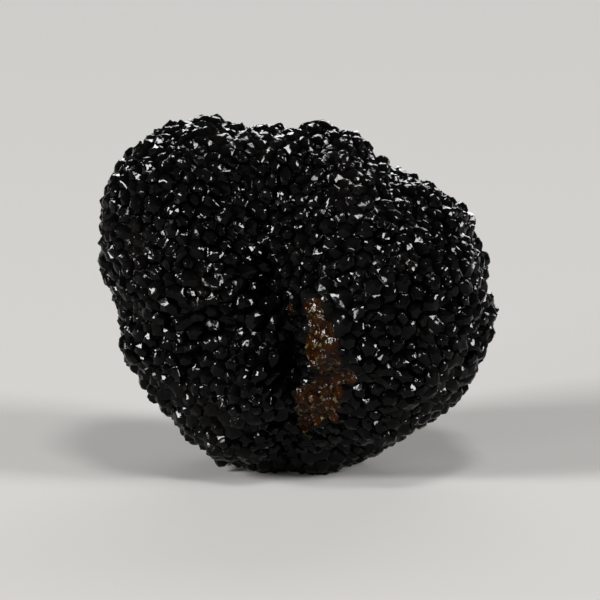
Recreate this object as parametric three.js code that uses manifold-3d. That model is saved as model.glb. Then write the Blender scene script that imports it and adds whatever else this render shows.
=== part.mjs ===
// A black truffle: one solid tuber of grown-together lobes, with a deep furrow down its
// front and two shallower ones, and a skin of close-set polygonal warts, each a low
// pyramid that meets its neighbours in grooves.
// Millimetres, +Z up. The origin is the middle of the small flat spot that it rests on,
// +X is its longest way and -Y is its front.

import * as THREE from "three";
import { ConvexHull } from "three/addons/math/ConvexHull.js";
import { mergeVertices } from "three/addons/utils/BufferGeometryUtils.js";
import Module from "manifold-3d";

// ---- Driving dimensions, in millimetres ----

// The lobes are balls that run into one another. Together they give the tuber's form.
const LOBES = {
  rightFront: { centre: [8.8, -4.6, 19.6], radius: 14.9 },
  rightBack: { centre: [8.8, 5.2, 22.2], radius: 13.4 },
  rightShoulder: { centre: [10.4, -1.5, 24.8], radius: 10.8 },
  leftHigh: { centre: [-12.6, 3.4, 31.0], radius: 11.0 },
  leftTop: { centre: [-14.4, -0.6, 32.6], radius: 9.8 },
  leftFront: { centre: [-13.4, -3.2, 24.0], radius: 10.6 },
  leftLow: { centre: [-8.8, -3.4, 14.5], radius: 10.4 },
  crown: { centre: [-1.6, 2.2, 31.0], radius: 12.0 },
  saddle: { centre: [5.0, 1.0, 28.0], radius: 11.2 },
  backLow: { centre: [-3.0, 7.6, 16.8], radius: 13.0 },
  underside: { centre: [-0.9, 0.0, 15.2], radius: 15.9 },
};
const LOBE_BLEND = 1.7; // how far from a crease two lobes start to run together
const HEART = new THREE.Vector3(0, 0, 21); // the point that the skin is measured from
const FARTHEST = 40; // no skin lies further than this from the heart

// Each furrow sinks into the skin along a path of points. The depth is that at each point.
const FURROWS = [
  {
    halfWidth: 2.2,
    path: [
      { at: [-9.5, -4.0, 43.0], depth: 0.3 },
      { at: [-7.4, -9.5, 37.2], depth: 1.5 },
      { at: [-4.4, -15.0, 26.3], depth: 3.0 },
      { at: [-0.8, -17.0, 21.4], depth: 4.0 },
      { at: [-1.4, -16.0, 14.0], depth: 4.5 },
      { at: [-2.2, -10.0, 3.5], depth: 1.4 },
    ],
  },
  {
    halfWidth: 2.0,
    path: [
      { at: [-1.0, -16.0, 17.0], depth: 1.4 },
      { at: [-8.5, -14.8, 19.5], depth: 1.7 },
      { at: [-14.5, -14.3, 21.5], depth: 1.5 },
      { at: [-20.5, -9.5, 21.0], depth: 1.3 },
      { at: [-24.0, -3.0, 20.0], depth: 1.3 },
      { at: [-21.0, 3.0, 20.0], depth: 2.0 },
      { at: [-12.0, 15.0, 25.0], depth: 1.8 },
      { at: [-3.0, 18.0, 32.0], depth: 0.4 },
    ],
  },
  {
    halfWidth: 1.6,
    path: [
      { at: [16.0, -4.0, 38.0], depth: 0.3 },
      { at: [11.0, 6.0, 38.0], depth: 1.6 },
      { at: [9.0, 17.0, 31.0], depth: 1.6 },
      { at: [12.0, 20.0, 22.0], depth: 0.3 },
    ],
  },
];

// The scar is a bare patch beside the front furrow, made of round spots that overlap.
// Its skin is sunken and its warts are low.
const SCAR = [
  { at: [1.6, -17.9, 24.3], radius: 0.7 },
  { at: [2.0, -18.1, 22.8], radius: 0.8 },
  { at: [2.7, -18.8, 21.2], radius: 1.1 },
  { at: [2.9, -19.1, 19.5], radius: 1.5 },
  { at: [3.1, -18.8, 17.7], radius: 1.7 },
  { at: [3.9, -17.0, 15.3], radius: 1.4 },
  { at: [5.9, -17.9, 15.2], radius: 0.8 },
  { at: [3.2, -16.6, 13.8], radius: 1.5 },
  { at: [2.3, -15.8, 11.1], radius: 2.3 },
  { at: [1.0, -14.4, 9.4], radius: 1.3 },
  { at: [3.5, -15.6, 9.9], radius: 0.8 },
  { at: [0.4, -12.5, 7.9], radius: 0.5 },
  { at: [-1.2, -13.2, 23.0], radius: 0.2 },
];
const SCAR_EDGE = 0.6; // how far its edge fades out past each spot
const SCAR_SINK = 0.4;
const SCAR_WART_SHARE = 0.45; // how much of a wart's rise is left in the scar

// Shallow swellings of the whole skin: waves with a length, a height and a heading.
const SWELLS = [
  { length: 15.0, height: 0.42, heading: [0.85, 0.3, -0.43], start: 0.4 },
  { length: 12.5, height: 0.4, heading: [-0.35, 0.73, 0.58], start: 2.1 },
  { length: 10.0, height: 0.3, heading: [0.4, -0.5, 0.77], start: 4.0 },
  { length: 6.5, height: 0.34, heading: [0.15, 0.84, -0.52], start: 1.1 },
  { length: 5.2, height: 0.28, heading: [-0.78, 0.28, 0.56], start: 5.0 },
];

const WART_COUNT = 1960;
const WART_WIDTH = 1.98; // across a wart of ordinary size, from groove to groove
const WART_RISE = 0.62; // from the grooves to the tip of a wart of ordinary size
const WART_SPREAD = 0.36; // how much wider or narrower than ordinary a wart may be, as a share
const WART_LEAN = 0.3; // how far a tip of ordinary size may stand off its wart's middle
const PLACES_A_WART = 5; // how many places are weighed up for each wart
const SPREAD_ROUNDS = 26;
const SPREAD_STEP = 0.45; // the share of an overlap that each of two warts clears in a round

// The tuber is cut off at z = 0, where it has been pressed flat by lying there. Points of
// the skin that lie closer than this to the cut are sunk under it, so it leaves no slivers.
const CUT_MARGIN = 0.12;
const GROUND_SIZE = 60;

// ---- Form of the tuber ----

const GOLDEN_ANGLE = Math.PI * (3 - Math.sqrt(5));
const HALVINGS = 26;
const NUDGE = 0.02; // the step, in radians, that a slope is measured over

// A number from 0 to 1 that looks random and is the same each time.
function draw(index, kind) {
  const noise = Math.sin(index * 127.1 + kind * 311.7) * 43758.5453;
  return noise - Math.floor(noise);
}

const lobes = Object.values(LOBES).map(({ centre, radius }) => ({
  centre: new THREE.Vector3(...centre),
  radius,
}));

// The distance from a point to the blended lobes, negative inside them.
function distanceToLobes(point) {
  let sum = 0;
  for (const { centre, radius } of lobes)
    sum += Math.exp((radius - point.distanceTo(centre)) / LOBE_BLEND);
  return -LOBE_BLEND * Math.log(sum);
}

function swellHeight(point) {
  let height = 0;
  for (const swell of SWELLS) {
    const [x, y, z] = swell.heading;
    const along = point.x * x + point.y * y + point.z * z;
    height += swell.height * Math.sin((2 * Math.PI * along) / swell.length + swell.start);
  }
  return height;
}

const directionTo = (point) => point.clone().sub(HEART).normalize();

const furrows = FURROWS.map(({ halfWidth, path }) => ({
  halfWidth,
  path: path.map(({ at, depth }) => ({ towards: directionTo(new THREE.Vector3(...at)), depth })),
}));

// How deep the furrows are in a direction, at a distance from the heart.
function furrowDepth(direction, radius) {
  let deepest = 0;
  for (const { halfWidth, path } of furrows)
    for (let i = 0; i + 1 < path.length; i++) {
      const [from, to] = [path[i], path[i + 1]];
      const run = to.towards.clone().sub(from.towards);
      const share = direction.clone().sub(from.towards).dot(run) / run.lengthSq();
      const along = THREE.MathUtils.clamp(share, 0, 1);
      const aside = radius * direction.distanceTo(from.towards.clone().addScaledVector(run, along));
      const depth = THREE.MathUtils.lerp(from.depth, to.depth, along);
      deepest = Math.max(deepest, depth * Math.exp(-((aside / halfWidth) ** 2)));
    }
  return deepest;
}

const scarSpots = SCAR.map(({ at, radius }) => ({
  towards: directionTo(new THREE.Vector3(...at)),
  radius,
}));

// How much of the scar there is in a direction: 1 inside it, 0 away from it.
function scarShare(direction, radius) {
  let share = 0;
  for (const spot of scarSpots) {
    const aside = radius * direction.distanceTo(spot.towards);
    const fade = THREE.MathUtils.smoothstep(aside, spot.radius, spot.radius + SCAR_EDGE);
    share = Math.max(share, 1 - fade);
  }
  return share;
}

// The point of the skin, without its warts, in a direction from the heart.
function skinPoint(direction) {
  let [inside, outside] = [0, FARTHEST];
  const point = new THREE.Vector3();
  for (let i = 0; i < HALVINGS; i++) {
    const middle = (inside + outside) / 2;
    point.copy(HEART).addScaledVector(direction, middle);
    if (distanceToLobes(point) < 0) inside = middle;
    else outside = middle;
  }
  const sink = furrowDepth(direction, inside) + SCAR_SINK * scarShare(direction, inside);
  const radius = inside + swellHeight(point) - sink;
  return point.copy(HEART).addScaledVector(direction, radius);
}

// The skin's outward normal in a direction, from two skin points a nudge to either side.
function skinNormal(direction) {
  const side = new THREE.Vector3(0, 0, 1);
  if (Math.abs(direction.z) > 0.9) side.set(1, 0, 0);
  const across = side.cross(direction).normalize();
  const up = direction.clone().cross(across);
  const step = (way, length) =>
    skinPoint(direction.clone().addScaledVector(way, length).normalize());
  const slopeAcross = step(across, NUDGE).sub(step(across, -NUDGE));
  const slopeUp = step(up, NUDGE).sub(step(up, -NUDGE));
  return slopeAcross.cross(slopeUp).normalize();
}

// ---- Warts ----

// A wart's size beside an ordinary one.
const wartSize = (index) => 1 + WART_SPREAD * (2 * draw(index, 1) - 1);

// The directions of the warts' middles. A fine spiral of places winds down the skin, and
// a wart goes in wherever the skin passed since the last one makes up a wart's share of
// it. Crowded warts then push each other away until each has the room it needs.
function wartDirections() {
  const count = WART_COUNT * PLACES_A_WART;
  const places = [];
  let skin = 0;
  for (let i = 0; i < count; i++) {
    const height = 1 - (2 * i + 1) / count;
    const turn = i * GOLDEN_ANGLE;
    const ring = Math.sqrt(1 - height * height);
    const direction = new THREE.Vector3(ring * Math.cos(turn), ring * Math.sin(turn), height);
    skin += skinPoint(direction).distanceToSquared(HEART) / skinNormal(direction).dot(direction);
    places.push({ direction, skin });
  }
  const warts = [];
  for (const place of places)
    if (place.skin >= (skin * (warts.length + 0.5)) / WART_COUNT) warts.push(place.direction);
  for (let round = 0; round < SPREAD_ROUNDS; round++) pushApart(warts);
  return warts;
}

function pushApart(directions) {
  const points = directions.map(skinPoint);
  const moves = points.map(() => new THREE.Vector3());
  const gap = new THREE.Vector3();
  for (let i = 0; i < points.length; i++)
    for (let j = i + 1; j < points.length; j++) {
      gap.subVectors(points[i], points[j]);
      const room = (WART_WIDTH * (wartSize(i) + wartSize(j))) / 2;
      const apart = gap.length();
      if (apart >= room) continue;
      gap.multiplyScalar((SPREAD_STEP * (room - apart)) / apart);
      moves[i].add(gap);
      moves[j].sub(gap);
    }
  directions.forEach((direction, i) => direction.copy(directionTo(points[i].add(moves[i]))));
}

// The tip of a wart, raised along the skin's normal and leaning a little to one side.
function wartTip(direction, index) {
  const normal = skinNormal(direction);
  const lean = new THREE.Vector3(draw(index, 2) - 0.5, draw(index, 3) - 0.5, draw(index, 4) - 0.5);
  lean.projectOnPlane(normal).multiplyScalar(2 * WART_LEAN * wartSize(index));
  const foot = skinPoint(direction);
  const scar = scarShare(direction, foot.distanceTo(HEART));
  const rise = WART_RISE * wartSize(index) * THREE.MathUtils.lerp(1, SCAR_WART_SHARE, scar);
  return foot.add(lean).addScaledVector(normal, rise);
}

// The closed surface of the warty skin. Three neighbouring warts meet at each corner of
// the grooves, and each wart is a fan of triangles from its tip to the corners round it.
function wartySkin() {
  const directions = wartDirections();
  const numberOf = new Map(directions.map((direction, i) => [direction, i]));
  const corners = new ConvexHull().setFromPoints(directions).faces;
  const cornerOf = new Map(corners.map((corner, i) => [corner, WART_COUNT + i]));

  const points = directions.map(wartTip);
  const triangles = [];
  for (const corner of corners) {
    const middle = new THREE.Vector3();
    let edge = corner.edge;
    for (let i = 0; i < 3; i++) {
      middle.add(skinPoint(edge.vertex.point));
      const wart = numberOf.get(edge.tail().point);
      triangles.push(wart, cornerOf.get(edge.twin.face), cornerOf.get(corner));
      edge = edge.next;
    }
    points.push(skinPoint(directionTo(middle.divideScalar(3))));
  }

  for (const point of points) if (Math.abs(point.z) < CUT_MARGIN) point.z = -CUT_MARGIN;
  const geometry = new THREE.BufferGeometry().setFromPoints(points);
  geometry.setIndex(triangles);
  return geometry;
}

// ---- The flat spot ----

const wasm = await Module();
wasm.setup();

function solidOf(geometry) {
  const vertProperties = new Float32Array(geometry.getAttribute("position").array);
  const triVerts = new Uint32Array(geometry.index.array);
  return new wasm.Manifold(new wasm.Mesh({ numProp: 3, vertProperties, triVerts }));
}

function geometryOf(solid) {
  const mesh = solid.getMesh();
  const geometry = new THREE.BufferGeometry();
  geometry.setAttribute("position", new THREE.BufferAttribute(mesh.vertProperties, 3));
  geometry.setIndex(new THREE.BufferAttribute(mesh.triVerts, 1));
  geometry.computeVertexNormals();
  return geometry;
}

// A block that fills the space under z = 0, as eight corners and twelve triangles.
function ground() {
  const box = new THREE.BoxGeometry(GROUND_SIZE, GROUND_SIZE, GROUND_SIZE);
  box.translate(0, 0, -GROUND_SIZE / 2);
  box.deleteAttribute("normal");
  box.deleteAttribute("uv");
  return mergeVertices(box);
}

const skinBlack = new THREE.MeshStandardMaterial({
  color: 0x161412,
  roughness: 0.4,
  metalness: 0,
});

const truffle = new THREE.Mesh(
  geometryOf(solidOf(wartySkin()).subtract(solidOf(ground()))),
  skinBlack,
);
truffle.name = "truffle";

const part = new THREE.Group();
part.add(truffle);

export default part;
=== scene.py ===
"""A whole black truffle resting on its flat spot.

The truffle is one closed surface. Its shape is worked out in millimetres, in the frame of
the solid that it replaces: the origin is the middle of the flat spot, +X is its longest way,
-Y is its front and +Z is up. It is turned into metres when the mesh is made.

A point of the surface lies at

    skin(direction) + relief * normal(direction),    and never under z = 0

where direction points away from the heart of the tuber. The skin is the outside of balls
that run into one another, with swells added and furrows and the scar taken away. The relief
is the warts: each fills one cell of a net of grooves and rises from the grooves to its tip.
An arris runs from the tip to each corner of the cell, and the sides of the wart are ruled
between one arris and the next, so they are nearly flat and meet at sharp edges.
"""

import math

import bmesh
import bpy
import numpy as np
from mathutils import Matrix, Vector


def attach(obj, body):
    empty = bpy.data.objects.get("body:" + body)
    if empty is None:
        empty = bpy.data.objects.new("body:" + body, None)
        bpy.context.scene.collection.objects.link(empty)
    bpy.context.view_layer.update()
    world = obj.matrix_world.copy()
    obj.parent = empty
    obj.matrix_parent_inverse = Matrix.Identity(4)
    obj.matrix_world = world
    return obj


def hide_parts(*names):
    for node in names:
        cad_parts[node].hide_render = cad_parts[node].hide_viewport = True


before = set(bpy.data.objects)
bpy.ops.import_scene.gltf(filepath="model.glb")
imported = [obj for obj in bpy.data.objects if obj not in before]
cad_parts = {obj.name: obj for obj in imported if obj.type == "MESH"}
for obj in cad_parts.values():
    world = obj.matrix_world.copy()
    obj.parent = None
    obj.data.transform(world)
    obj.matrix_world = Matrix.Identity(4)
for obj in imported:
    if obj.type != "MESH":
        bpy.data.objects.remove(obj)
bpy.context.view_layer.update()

MM = 0.001  # metres in a millimetre

# ---- Form of the tuber, in millimetres, as in the solid ----

LOBES = {  # centre, radius
    "right front": ((8.8, -4.6, 19.6), 14.9),
    "right back": ((8.8, 5.2, 22.2), 13.4),
    "right shoulder": ((10.4, -1.5, 24.8), 10.8),
    "left high": ((-12.6, 3.4, 31.0), 11.0),
    "left top": ((-14.4, -0.6, 32.6), 9.8),
    "left front": ((-13.4, -3.2, 24.0), 10.6),
    "left low": ((-8.8, -3.4, 14.5), 10.4),
    "crown": ((-1.6, 2.2, 31.0), 12.0),
    "saddle": ((5.0, 1.0, 28.0), 11.2),
    "back low": ((-3.0, 7.6, 16.8), 13.0),
    "underside": ((-0.9, 0.0, 15.2), 15.9),
}
LOBE_BLEND = 1.7  # how far from a crease two lobes start to run together
HEART = np.array((0.0, 0.0, 21.0))  # the point that the skin is measured from
FARTHEST = 40.0  # no skin lies further than this from the heart

FURROWS = [  # half width, then the points that it passes with its depth at each
    (2.2, [
        ((-9.5, -4.0, 43.0), 0.3),
        ((-7.4, -9.5, 37.2), 1.5),
        ((-4.4, -15.0, 26.3), 3.0),
        ((-0.8, -17.0, 21.4), 4.0),
        ((-1.4, -16.0, 14.0), 4.5),
        ((-2.2, -10.0, 3.5), 1.4),
    ]),
    (2.0, [
        ((-1.0, -16.0, 17.0), 1.4),
        ((-8.5, -14.8, 19.5), 1.7),
        ((-14.5, -14.3, 21.5), 1.5),
        ((-20.5, -9.5, 21.0), 1.3),
        ((-24.0, -3.0, 20.0), 1.3),
        ((-21.0, 3.0, 20.0), 2.0),
        ((-12.0, 15.0, 25.0), 1.8),
        ((-3.0, 18.0, 32.0), 0.4),
    ]),
    (1.6, [
        ((16.0, -4.0, 38.0), 0.3),
        ((11.0, 6.0, 38.0), 1.6),
        ((9.0, 17.0, 31.0), 1.6),
        ((12.0, 20.0, 22.0), 0.3),
    ]),
]

SCAR = [  # round spots that overlap: middle, radius
    ((1.6, -17.9, 24.3), 0.7),
    ((2.0, -18.1, 22.8), 0.8),
    ((2.7, -18.8, 21.2), 1.1),
    ((2.9, -19.1, 19.5), 1.5),
    ((3.1, -18.8, 17.7), 1.7),
    ((3.9, -17.0, 15.3), 1.4),
    ((5.9, -17.9, 15.2), 0.8),
    ((3.2, -16.6, 13.8), 1.5),
    ((2.3, -15.8, 11.1), 2.3),
    ((1.0, -14.4, 9.4), 1.3),
    ((3.5, -15.6, 9.9), 0.8),
    ((0.4, -12.5, 7.9), 0.5),
    ((-1.2, -13.2, 23.0), 0.2),
]
SCAR_EDGE = 0.6  # how far its edge fades out past each spot
SCAR_SINK = 0.4
SCAR_WART_SHARE = 0.45  # how much of a wart's rise is left in the scar

SWELLS = [  # length, height, heading, start
    (15.0, 0.42, (0.85, 0.3, -0.43), 0.4),
    (12.5, 0.4, (-0.35, 0.73, 0.58), 2.1),
    (10.0, 0.3, (0.4, -0.5, 0.77), 4.0),
    (6.5, 0.34, (0.15, 0.84, -0.52), 1.1),
    (5.2, 0.28, (-0.78, 0.28, 0.56), 5.0),
]

WART_COUNT = 1960
WART_WIDTH = 1.98  # across a wart of ordinary size, from groove to groove
WART_RISE = 0.62  # from the grooves to the tip of a wart of ordinary size
WART_SPREAD = 0.36  # how much wider or narrower than ordinary a wart may be, as a share
WART_LEAN = 0.3  # how far a tip of ordinary size may stand off its wart's middle
PLACES_A_WART = 5  # how many places are weighed up for each wart
SPREAD_ROUNDS = 26
SPREAD_STEP = 0.45  # the share of an overlap that each of two warts clears in a round

GOLDEN_ANGLE = math.pi * (3 - math.sqrt(5))
HALVINGS = 24
NUDGE = 0.02  # the step, in radians, that a slope is measured over
UPRIGHT = 0.9  # the height past which a direction is too near the z axis to be crossed with it

# ---- Finer relief of the warts, in millimetres ----

SHARP_PROFILE = (0.0, 0.25, 0.5, 0.75, 0.98)  # height over the rise, from the groove to the tip
BLUNT_PROFILE = (0.0, 0.5, 0.86, 0.92, 0.84)
FACET_STEPS = len(SHARP_PROFILE) - 1  # rows of small faces from a groove to a tip
BLUNT_SHARE = 0.4  # share of the warts that are blunt rather than sharp
BLUNT_BLEND = 0.2  # the further share of them that lies in between
CHIP = 0.07  # how far a point of an arris may stand off its place
SCAR_CHIP_SHARE = 0.4  # how much of that is left in the scar
ARRIS_ANGLE = math.radians(26)  # faces that turn more than this from one another meet sharply
CHIP_SEED = 7

SIZE_DRAW, *LEAN_DRAWS, BLUNT_DRAW = range(1, 6)  # kinds of draw, so that each has its own numbers

# ---- Whole-array geometry ----


def unit(vectors):
    """Each vector over its length."""
    return vectors / np.linalg.norm(vectors, axis=-1, keepdims=True)


def smooth(share):
    """3 t^2 - 2 t^3 of a share held between 0 and 1."""
    share = np.clip(share, 0.0, 1.0)
    return share * share * (3.0 - 2.0 * share)


def draw(index, kind):
    """What follows the point in 43758.5453 sin(127.1 index + 311.7 kind): a number from 0
    to 1 that looks random and is the same each time."""
    noise = np.sin(index * 127.1 + kind * 311.7) * 43758.5453
    return noise - np.floor(noise)


def lobe_distance(points):
    """-b ln(sum of exp((radius - distance to centre) / b)), negative inside the lobes."""
    total = np.zeros(len(points))
    for centre, radius in LOBES.values():
        total += np.exp((radius - np.linalg.norm(points - np.array(centre), axis=1)) / LOBE_BLEND)
    return -LOBE_BLEND * np.log(total)


def swell_height(points):
    """Sum of height * sin(2 pi (point . heading) / length + start)."""
    height = np.zeros(len(points))
    for length, tall, heading, start in SWELLS:
        height += tall * np.sin(2 * math.pi * (points @ np.array(heading)) / length + start)
    return height


def furrow_depth(directions, radius):
    """The largest of depth * exp(-(aside / half width)^2) over every stretch of furrow."""
    deepest = np.zeros(len(directions))
    for half_width, path in FURROWS:
        towards = unit(np.array([at for at, _ in path]) - HEART)
        depths = [depth for _, depth in path]
        for i in range(len(path) - 1):
            run = towards[i + 1] - towards[i]
            along = np.clip((directions - towards[i]) @ run / (run @ run), 0.0, 1.0)
            nearest = towards[i] + along[:, None] * run
            aside = radius * np.linalg.norm(directions - nearest, axis=1)
            depth = depths[i] + along * (depths[i + 1] - depths[i])
            deepest = np.maximum(deepest, depth * np.exp(-((aside / half_width) ** 2)))
    return deepest


def scar_share(directions, radius):
    """1 inside the scar's spots, falling to 0 over the width of its edge."""
    share = np.zeros(len(directions))
    for middle, spot in SCAR:
        aside = radius * np.linalg.norm(directions - unit(np.array(middle) - HEART), axis=1)
        share = np.maximum(share, 1.0 - smooth((aside - spot) / SCAR_EDGE))
    return share


def skin(directions):
    """heart + direction * (where the lobes end + swells - furrows - scar), warts left out."""
    inside = np.zeros(len(directions))
    outside = np.full(len(directions), FARTHEST)
    for _ in range(HALVINGS):
        middle = (inside + outside) / 2
        within = lobe_distance(HEART + directions * middle[:, None]) < 0
        inside = np.where(within, middle, inside)
        outside = np.where(within, outside, middle)
    points = HEART + directions * inside[:, None]
    sink = furrow_depth(directions, inside) + SCAR_SINK * scar_share(directions, inside)
    return HEART + directions * (inside + swell_height(points) - sink)[:, None]


def skin_normals(directions):
    """The cross product of the skin's slopes to either side of a direction."""
    sideways = np.where(np.abs(directions[:, 2:]) > UPRIGHT, (1.0, 0.0, 0.0), (0.0, 0.0, 1.0))
    across = unit(np.cross(sideways, directions))
    up = np.cross(directions, across)
    slope_across = skin(unit(directions + NUDGE * across)) - skin(unit(directions - NUDGE * across))
    slope_up = skin(unit(directions + NUDGE * up)) - skin(unit(directions - NUDGE * up))
    return unit(np.cross(slope_across, slope_up))


# ---- Warts ----


def wart_sizes():
    """1 + spread * (a draw from -1 to 1), for each wart: its size beside an ordinary one."""
    return 1.0 + WART_SPREAD * (2.0 * draw(np.arange(WART_COUNT), SIZE_DRAW) - 1.0)


def wart_directions():
    """A fine spiral of places winds down the skin, and a wart goes in wherever the skin
    passed makes up a wart's share. Crowded warts then push each other away."""
    count = WART_COUNT * PLACES_A_WART
    index = np.arange(count)
    height = 1.0 - (2.0 * index + 1.0) / count
    ring = np.sqrt(1.0 - height**2)
    turn = index * GOLDEN_ANGLE
    places = np.stack((ring * np.cos(turn), ring * np.sin(turn), height), axis=1)
    tilt = np.sum(skin_normals(places) * places, axis=1)
    passed = np.cumsum(np.sum((skin(places) - HEART) ** 2, axis=1) / tilt)
    shares = passed[-1] * (np.arange(WART_COUNT) + 0.5) / WART_COUNT
    warts = places[np.searchsorted(passed, shares)]

    size = wart_sizes()
    for _ in range(SPREAD_ROUNDS):
        points = skin(warts)
        square = np.sum(points**2, axis=1)
        apart = square[:, None] + square - 2 * points @ points.T
        one, two = np.nonzero(np.triu(apart < (WART_WIDTH * (1 + WART_SPREAD)) ** 2, 1))
        gap = points[one] - points[two]
        apart = np.linalg.norm(gap, axis=1)
        room = WART_WIDTH * (size[one] + size[two]) / 2
        gap *= (SPREAD_STEP * np.maximum(room - apart, 0.0) / apart)[:, None]
        for k in range(3):
            points[:, k] += np.bincount(one, gap[:, k], WART_COUNT)
            points[:, k] -= np.bincount(two, gap[:, k], WART_COUNT)
        warts = unit(points - HEART)
    return warts


def meeting_warts(warts):
    """The three warts that meet at each corner of the grooves, counter-clockwise from
    outside: the faces of the convex hull of the warts' directions."""
    mesh = bpy.data.meshes.new("hull")
    mesh.from_pydata(warts.tolist(), [], [])
    hull = bmesh.new()
    hull.from_mesh(mesh)
    bmesh.ops.convex_hull(hull, input=hull.verts)
    bmesh.ops.triangulate(hull, faces=hull.faces)
    hull.to_mesh(mesh)
    hull.free()
    corners = np.empty(len(mesh.loops), dtype=np.int32)
    mesh.loops.foreach_get("vertex_index", corners)
    bpy.data.meshes.remove(mesh)
    corners = corners.reshape(-1, 3)
    a, b, c = (warts[corners[:, k]] for k in range(3))
    inward = np.sum(np.cross(b - a, c - a) * a, axis=1) < 0
    corners[inward] = corners[inward][:, ::-1]
    return corners


def wart_facets(meeting):
    """One facet for each side of each wart: its tip and the two corners at its ends.
    A corner's number is the number of its face of the hull, past the warts' own."""
    tail = meeting.ravel()
    head = np.roll(meeting, -1, axis=1).ravel()
    face = np.repeat(np.arange(len(meeting)), 3)
    key = tail.astype(np.int64) * WART_COUNT + head
    twin_key = head.astype(np.int64) * WART_COUNT + tail
    order = np.argsort(key)
    twin = face[order[np.searchsorted(key[order], twin_key)]]
    return np.stack((tail, WART_COUNT + twin, WART_COUNT + face), axis=1)


def split_facets(facets, steps):
    """Splits each facet into steps^2 small ones. A point is three whole weights that add up
    to steps, on the tip and the two corners, and facets share the points of their edges.
    Returns the facet and the weights of each point, and the triangles."""
    pairs = [(a, b) for a in range(steps + 1) for b in range(steps + 1 - a)]
    weights = np.array([(a, b, steps - a - b) for a, b in pairs])
    place = {tuple(w): i for i, w in enumerate(weights.tolist())}
    small = []
    for a, b, c in weights.tolist():
        if c > 0:
            right = (a + 1, b, c - 1)
            left = (a, b + 1, c - 1)
            small.append((place[a, b, c], place[right], place[left]))
            if b > 0:
                small.append((place[a, b, c], place[a + 1, b - 1, c], place[right]))
    base = np.repeat(facets[:, None, :], len(weights), axis=1).reshape(-1, 3)
    share = np.tile(weights, (len(facets), 1))
    code = np.sort(np.where(share > 0, base * (steps + 1) + share, -1), axis=1) + 1
    span = int(code.max()) + 1
    key = (code[:, 0] * span + code[:, 1]) * span + code[:, 2]
    _, first, number = np.unique(key, return_index=True, return_inverse=True)
    number = number.reshape(len(facets), len(weights))
    triangles = number[:, np.array(small)].reshape(-1, 3)
    return first // len(weights), share[first], triangles


def arris_points(facets, anchors):
    """The points of each facet's first arris, from its corner of the grooves up to the tip:
    skin(blend of corner and tip) + rise * profile * normal + lean * level + chip. The
    profile is a sharp one, a blunt one or a blend of the two, drawn for each wart."""
    levels = np.arange(FACET_STEPS + 1) / FACET_STEPS
    tip, corner = anchors[facets[:, 0]], anchors[facets[:, 1]]
    blend = corner[:, None] + levels[:, None] * (tip - corner)[:, None]
    directions = unit(blend - HEART).reshape(-1, 3)
    points = skin(directions)
    normals = skin_normals(directions)
    scar = scar_share(directions, np.linalg.norm(points - HEART, axis=1))

    wart = np.repeat(facets[:, 0], len(levels))
    level = np.tile(levels, len(facets))
    size = wart_sizes()[wart]
    blunt = smooth((BLUNT_SHARE - draw(wart, BLUNT_DRAW)) / BLUNT_BLEND + 0.5)
    sharp_height = np.interp(level, levels, SHARP_PROFILE)
    blunt_height = np.interp(level, levels, BLUNT_PROFILE)
    height = WART_RISE * size * (sharp_height + blunt * (blunt_height - sharp_height))
    height *= 1.0 + (SCAR_WART_SHARE - 1.0) * scar
    lean = np.stack([draw(wart, kind) - 0.5 for kind in LEAN_DRAWS], axis=1)
    lean -= normals * np.sum(lean * normals, axis=1, keepdims=True)
    random = np.random.default_rng(CHIP_SEED)
    chips = random.uniform(-1.0, 1.0, points.shape)
    reach = CHIP * (1.0 + (SCAR_CHIP_SHARE - 1.0) * scar) * ((level > 0) & (level < 1))
    points = points + lean * (2 * WART_LEAN * size * level)[:, None] + normals * height[:, None]
    return (points + chips * reach[:, None]).reshape(len(facets), len(levels), 3)


def truffle_surface():
    """Points, triangles and the values that the material reads at each point. A point of a
    wart's side lies between one arris and the next, at the same level on both:
    arris(level) * (1 - share of the way) + next arris(level) * share of the way."""
    warts = wart_directions()
    meeting = meeting_warts(warts)
    feet = skin(warts)
    corners = skin(unit(feet[meeting].mean(axis=1) - HEART))
    facets = wart_facets(meeting)
    arrises = arris_points(facets, np.concatenate((feet, corners)))
    wart_key = facets[:, 0].astype(np.int64) * (WART_COUNT + len(corners))
    first_key = wart_key + facets[:, 1]
    order = np.argsort(first_key)
    next_arris = order[np.searchsorted(first_key[order], wart_key + facets[:, 2])]

    facet, weights, triangles = split_facets(facets, FACET_STEPS)
    level, first_share, second_share = weights.T
    sides = np.maximum(first_share + second_share, 1)
    towards = np.where(level == FACET_STEPS, 0.0, second_share / sides)[:, None]
    points = arrises[facet, level] * (1 - towards) + arrises[next_arris[facet], level] * towards
    directions = unit(points - HEART)
    scar = scar_share(directions, np.linalg.norm(points - HEART, axis=1))
    points[:, 2] = np.maximum(points[:, 2], 0.0)
    return points, triangles, {"up": level / FACET_STEPS, "scar": scar}


def mesh_piece(name, points, triangles, values):
    """A mesh object from arrays in millimetres, with one number a point for each value. It
    is shaded smooth, and sharp where its faces turn more than the angle of an arris."""
    mesh = bpy.data.meshes.new(name)
    mesh.vertices.add(len(points))
    mesh.vertices.foreach_set("co", (points * MM).astype(np.float32).ravel())
    mesh.loops.add(triangles.size)
    mesh.loops.foreach_set("vertex_index", triangles.astype(np.int32).ravel())
    mesh.polygons.add(len(triangles))
    mesh.polygons.foreach_set("loop_start", np.arange(0, triangles.size, 3, dtype=np.int32))
    mesh.update(calc_edges=True)
    mesh.validate()
    mesh.shade_smooth()
    mesh.set_sharp_from_angle(angle=ARRIS_ANGLE)
    for key, numbers in values.items():
        attribute = mesh.attributes.new(key, "FLOAT", "POINT")
        attribute.data.foreach_set("value", numbers.astype(np.float32))
    piece = bpy.data.objects.new(name, mesh)
    bpy.context.scene.collection.objects.link(piece)
    return piece


# ---- Materials ----

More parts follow.
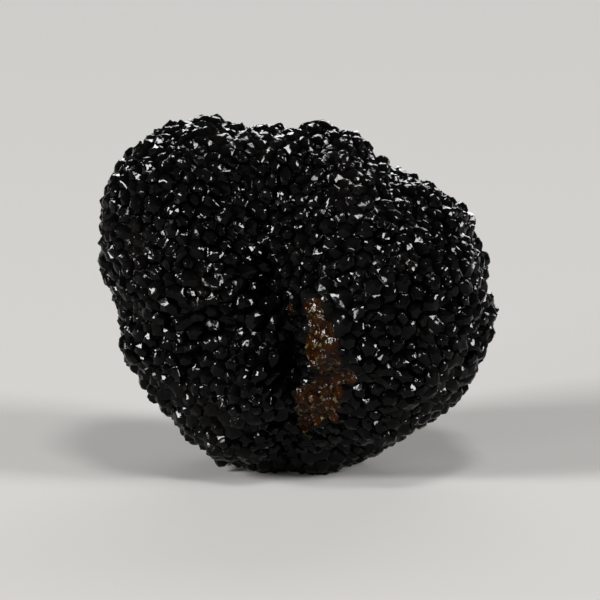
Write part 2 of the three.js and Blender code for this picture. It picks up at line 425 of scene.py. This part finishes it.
PATTERNS = {  # noise over the skin: the width of one repeat in millimetres, and its detail
    "patches": (7.0, 3.0),  # browner and blacker, drier and wetter
    "grain": (1.0, 0.0),  # of the warts
    "granules": (0.6, 1.0),  # of the flesh in the scar
    "wrinkles": (0.5, 1.0),  # finer on a real skin, and drawn as coarse as they need to show
}
BROWN_PATCHES = (0.55, 0.8)  # the noise where a patch starts to turn brown and is at its brownest
BROWN_SHARE = 0.4  # how much of the brown there is then
DRY_PATCHES = (0.42, 0.62)  # the noise where a patch is at its wettest and at its driest
WET_ROUGHNESS, DRY_ROUGHNESS = 0.07, 0.15
GRANULE_EDGE = (0.6, 0.68)  # the noise where a granule starts and is whole
SCAR_FRAY = 0.9  # how far the grain moves the edge of the scar
FRAYED_EDGE = (0.85, 0.95)  # the frayed share where the flesh starts and is bare
GRAIN_DEPTH = 0.06  # in millimetres
GRANULE_RISE = 4.0  # how much higher than the grain the granules stand
WRINKLE_DEPTH = 0.03  # in millimetres too
WET_INDEX = 1.18

COLOUR_A, COLOUR_B, COLOUR_RESULT = 6, 7, 2  # the colour sockets of a Mix node


def linear(hex_colour):
    """An sRGB hex colour as linear red, green, blue and an alpha of 1."""
    channels = [int(hex_colour[i : i + 2], 16) / 255 for i in (1, 3, 5)]
    bent = [c / 12.92 if c <= 0.04045 else ((c + 0.055) / 1.055) ** 2.4 for c in channels]
    return (*bent, 1.0)


def add_node(tree, kind, inputs=None, **settings):
    """Adds a node with its settings, and gives each input a value or a link from a socket."""
    node = tree.nodes.new(kind)
    for key, value in settings.items():
        setattr(node, key, value)
    for key, value in (inputs or {}).items():
        if isinstance(value, bpy.types.NodeSocket):
            tree.links.new(value, node.inputs[key])
        else:
            node.inputs[key].default_value = value
    return node


def per_metre(millimetres):
    """The texture scale at which a pattern repeats every so many millimetres."""
    return 1.0 / (millimetres * MM)


def wet_black_peridium():
    """Peridium: the hard outer skin of a truffle, grown as warts that are full of melanin,
    and wet with brine. Almost no light comes back out of the black, so what shows it is the
    gloss of the water: bright glints on the sides of warts that face a light, and black
    beside them. The index starts from the 1.33 of water and is matched down to how little
    the broken film of it mirrors. Where the warts are rubbed away, the scar shows reddish
    brown flesh with small pale granules."""
    material = bpy.data.materials.new("wet_black_peridium")
    material.use_nodes = True
    tree = material.node_tree
    tree.nodes.clear()

    place = add_node(tree, "ShaderNodeTexCoord").outputs["Object"]
    up = add_node(tree, "ShaderNodeAttribute", attribute_name="up").outputs["Fac"]
    scar = add_node(tree, "ShaderNodeAttribute", attribute_name="scar").outputs["Fac"]

    noise = {}
    for pattern, (width, detail) in PATTERNS.items():
        settings = {"Vector": place, "Scale": per_metre(width), "Detail": detail}
        noise[pattern] = add_node(tree, "ShaderNodeTexNoise", settings).outputs["Fac"]

    # Black, darker in the grooves and lighter towards the tips of the warts as painted shade, and a
    # little browner in some patches.
    black = add_node(
        tree, "ShaderNodeMix",
        {"Factor": up, COLOUR_A: linear("#000000"), COLOUR_B: linear("#040404")},
        data_type="RGBA",
    ).outputs[COLOUR_RESULT]
    brown = add_node(
        tree, "ShaderNodeMapRange",
        {
            "Value": noise["patches"],
            "From Min": BROWN_PATCHES[0],
            "From Max": BROWN_PATCHES[1],
            "To Max": BROWN_SHARE,
        },
    ).outputs["Result"]
    skin_colour = add_node(
        tree, "ShaderNodeMix",
        {"Factor": brown, COLOUR_A: black, COLOUR_B: linear("#080504")},
        data_type="RGBA",
    ).outputs[COLOUR_RESULT]

    # The flesh of the scar, with a ragged edge that the grain gives it. The flesh is darker in the
    # grooves and lighter towards the tips of the warts as painted shade.
    frayed = add_node(
        tree, "ShaderNodeMath", {0: noise["grain"], 1: SCAR_FRAY, 2: scar}, operation="MULTIPLY_ADD"
    ).outputs[0]
    scar_mask = add_node(
        tree, "ShaderNodeMapRange",
        {"Value": frayed, "From Min": FRAYED_EDGE[0], "From Max": FRAYED_EDGE[1]},
    ).outputs["Result"]
    flesh = add_node(
        tree, "ShaderNodeMix",
        {"Factor": up, COLOUR_A: linear("#0b0300"), COLOUR_B: linear("#1a0800")},
        data_type="RGBA",
    ).outputs[COLOUR_RESULT]
    granule_mask = add_node(
        tree, "ShaderNodeMapRange",
        {"Value": noise["granules"], "From Min": GRANULE_EDGE[0], "From Max": GRANULE_EDGE[1]},
    ).outputs["Result"]
    scar_colour = add_node(
        tree, "ShaderNodeMix",
        {"Factor": granule_mask, COLOUR_A: flesh, COLOUR_B: linear("#36301c")},
        data_type="RGBA",
    ).outputs[COLOUR_RESULT]
    colour = add_node(
        tree, "ShaderNodeMix",
        {"Factor": scar_mask, COLOUR_A: skin_colour, COLOUR_B: scar_colour},
        data_type="RGBA",
    ).outputs[COLOUR_RESULT]

    # Wetter and drier patches.
    roughness = add_node(
        tree, "ShaderNodeMapRange",
        {
            "Value": noise["patches"],
            "From Min": DRY_PATCHES[0],
            "From Max": DRY_PATCHES[1],
            "To Min": WET_ROUGHNESS,
            "To Max": DRY_ROUGHNESS,
        },
    ).outputs["Result"]

    # The granules stand up out of the flesh, and the grain and the wrinkles are all over.
    raised = add_node(
        tree, "ShaderNodeMath", {0: scar_mask, 1: noise["granules"]}, operation="MULTIPLY"
    ).outputs[0]
    height = add_node(
        tree, "ShaderNodeMath", {0: raised, 1: GRANULE_RISE, 2: noise["grain"]},
        operation="MULTIPLY_ADD",
    ).outputs[0]
    fine_bump = add_node(
        tree, "ShaderNodeBump", {"Distance": WRINKLE_DEPTH * MM, "Height": noise["wrinkles"]}
    ).outputs["Normal"]
    bump = add_node(
        tree, "ShaderNodeBump",
        {"Distance": GRAIN_DEPTH * MM, "Height": height, "Normal": fine_bump},
    ).outputs["Normal"]

    shader = add_node(
        tree, "ShaderNodeBsdfPrincipled",
        {"Base Color": colour, "Roughness": roughness, "IOR": WET_INDEX, "Normal": bump},
    )
    add_node(tree, "ShaderNodeOutputMaterial", {"Surface": shader.outputs["BSDF"]})
    return material


def matt_pale_paint():
    """Emulsion paint, rolled on: a pale grey with no shine, so the floor shows only shadow."""
    material = bpy.data.materials.new("matt_pale_paint")
    material.use_nodes = True
    shader = material.node_tree.nodes["Principled BSDF"]
    shader.inputs["Base Color"].default_value = linear("#7d7c7a")
    shader.inputs["Roughness"].default_value = 1.0
    shader.inputs["Specular IOR Level"].default_value = 0.0
    return material


# ---- The truffle ----

surface_points, surface_triangles, surface_values = truffle_surface()
truffle = mesh_piece("truffle_skin", surface_points, surface_triangles, surface_values)
truffle.data.materials.append(wet_black_peridium())
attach(truffle, "root")
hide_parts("truffle")

# ---- Floor, light and camera, in metres ----

FLOOR_HALF = 4.0  # from its middle to each side
FLOOR_TURNS = ((-1, -1), (1, -1), (1, 1), (-1, 1))
floor_corners = [(x * FLOOR_HALF, y * FLOOR_HALF, 0.0) for x, y in FLOOR_TURNS]
floor_mesh = bpy.data.meshes.new("floor")
floor_mesh.from_pydata(floor_corners, [], [(0, 1, 2, 3)])
floor_mesh.materials.append(matt_pale_paint())
floor = bpy.data.objects.new("floor", floor_mesh)
bpy.context.scene.collection.objects.link(floor)

LOOK_AT = Vector((0.0, 0.0, 0.0212))  # about half way up the truffle

# Most of the light comes from the two sides and shows the form by glints. The lights stand
# well off, so that the floor is evenly lit.
SOFTBOXES = {  # place, width, height, power in watts
    "key": ((-1.90, -0.90, 1.00), 0.68, 0.68, 142.0),
    "side": ((1.90, -0.60, 0.90), 0.57, 0.68, 96.0),
    "top": ((0.30, -0.70, 2.00), 0.40, 0.40, 34.0),
    "low": ((-1.30, -1.60, 0.28), 0.50, 0.40, 34.0),
    "back": ((0.20, 1.90, 1.00), 1.80, 1.00, 52.0),
}
ROOM_GREY = "#595959"  # the soft light that comes from all round


def softbox(name, place, width, height, power):
    """A rectangular light that faces the truffle and isn't seen itself."""
    light = bpy.data.lights.new(name, "AREA")
    light.shape = "RECTANGLE"
    light.size = width
    light.size_y = height
    light.energy = power
    lamp = bpy.data.objects.new(name, light)
    lamp.location = place
    lamp.rotation_euler = (LOOK_AT - Vector(place)).to_track_quat("-Z", "Y").to_euler()
    lamp.visible_camera = False
    bpy.context.scene.collection.objects.link(lamp)


for softbox_name, softbox_settings in SOFTBOXES.items():
    softbox(softbox_name, *softbox_settings)

world = bpy.data.worlds.new("studio")
world.use_nodes = True
world.node_tree.nodes["Background"].inputs["Color"].default_value = linear(ROOM_GREY)
bpy.context.scene.world = world

CAMERA_DISTANCE = 1.3
CAMERA_RISE = math.radians(12.0)
SENSOR_WIDTH = 36.0  # in millimetres, unlike the rest here
FRAME_WIDTH = 0.076  # how much of the object's plane the picture spans

camera_data = bpy.data.cameras.new("camera")
camera_data.sensor_width = SENSOR_WIDTH
camera_data.lens = SENSOR_WIDTH * CAMERA_DISTANCE / FRAME_WIDTH
camera = bpy.data.objects.new("camera", camera_data)
back = Vector((0.0, -math.cos(CAMERA_RISE), math.sin(CAMERA_RISE)))
camera.location = LOOK_AT + CAMERA_DISTANCE * back
camera.rotation_euler = (-back).to_track_quat("-Z", "Y").to_euler()
bpy.context.scene.collection.objects.link(camera)
bpy.context.scene.camera = camera
bpy.context.scene.view_settings.view_transform = "Standard"
